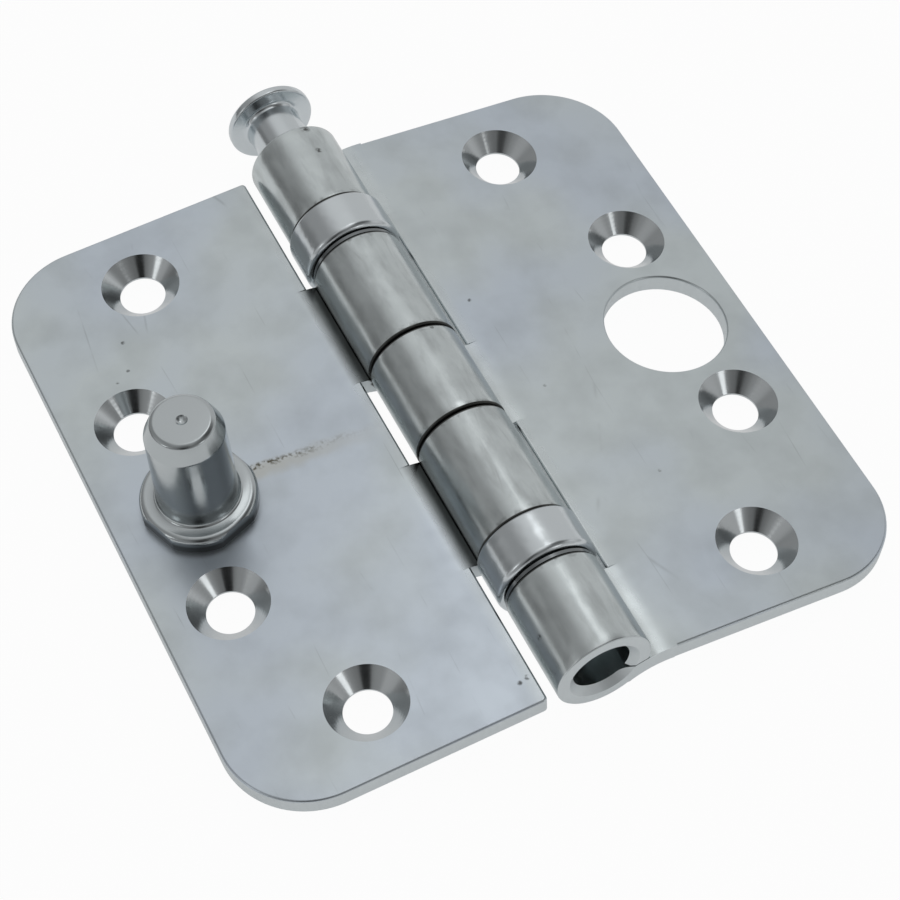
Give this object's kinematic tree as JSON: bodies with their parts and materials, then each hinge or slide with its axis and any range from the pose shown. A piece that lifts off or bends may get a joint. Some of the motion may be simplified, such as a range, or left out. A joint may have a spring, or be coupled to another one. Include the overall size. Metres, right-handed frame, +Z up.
{
  "type": "ball bearing hinge",
  "caption": "Steel butt hinge with round-cornered leaves, rolled knuckles, thrust bearings, a loose headed pin and a security stud that enters a hole in the other leaf.",
  "frame": {"origin": "middle of the outline on the surface that the open hinge lies on", "axes": "+X towards the frame leaf, +Y along the pin towards its head, +Z up, out of the countersunk faces"},
  "size_m": [0.0886, 0.0984, 0.0219],
  "materials": {
    "leaf_steel": "bright zinc plate",
    "stud_steel": "turned and zinc plated",
    "pin_steel": "bright zinc plate",
    "shell_steel": "drawn and zinc plated",
    "bearing_steel": "ground"
  },
  "bodies": {
    "frame_half": {"frame_leaf": "leaf_steel", "head_bearing_shell": "shell_steel", "head_bearing_upper_race": "bearing_steel", "foot_bearing_lower_race": "bearing_steel"},
    "door_half": {"door_leaf": "leaf_steel", "security_stud": "stud_steel", "head_bearing_lower_race": "bearing_steel", "foot_bearing_shell": "shell_steel", "foot_bearing_upper_race": "bearing_steel"},
    "loose_pin": {"hinge_pin": "pin_steel"},
    "head_balls": {"head_bearing_ball_1": "bearing_steel", "head_bearing_ball_2": "bearing_steel", "head_bearing_ball_3": "bearing_steel", "head_bearing_ball_4": "bearing_steel", "head_bearing_ball_5": "bearing_steel", "head_bearing_ball_6": "bearing_steel", "head_bearing_ball_7": "bearing_steel", "head_bearing_ball_8": "bearing_steel"},
    "foot_balls": {"foot_bearing_ball_1": "bearing_steel", "foot_bearing_ball_2": "bearing_steel", "foot_bearing_ball_3": "bearing_steel", "foot_bearing_ball_4": "bearing_steel", "foot_bearing_ball_5": "bearing_steel", "foot_bearing_ball_6": "bearing_steel", "foot_bearing_ball_7": "bearing_steel", "foot_bearing_ball_8": "bearing_steel"}
  },
  "joints": [
    {"name": "door_swing", "type": "hinge", "parent": "frame_half", "child": "door_half", "pos_m": [0, -0.00468, 0.00675], "axis": [0, 1, 0], "range_deg": [-122, 187.86]},
    {"name": "pin_draw", "type": "slide", "parent": "frame_half", "child": "loose_pin", "axis": [0, 1, 0], "range_m": [-0.0073, 0.082]},
    {"name": "head_balls_roll", "type": "hinge", "parent": "frame_half", "child": "head_balls", "pos_m": [0, -0.00468, 0.00675], "axis": [0, 1, 0], "range_deg": [-62, 95]},
    {"name": "foot_balls_roll", "type": "hinge", "parent": "frame_half", "child": "foot_balls", "pos_m": [0, -0.00468, 0.00675], "axis": [0, 1, 0], "range_deg": [-62, 95]}
  ],
  "couplings": [
    {"joint": "head_balls_roll", "follows": "door_swing", "ratio": 0.5},
    {"joint": "foot_balls_roll", "follows": "door_swing", "ratio": 0.5}
  ]
}
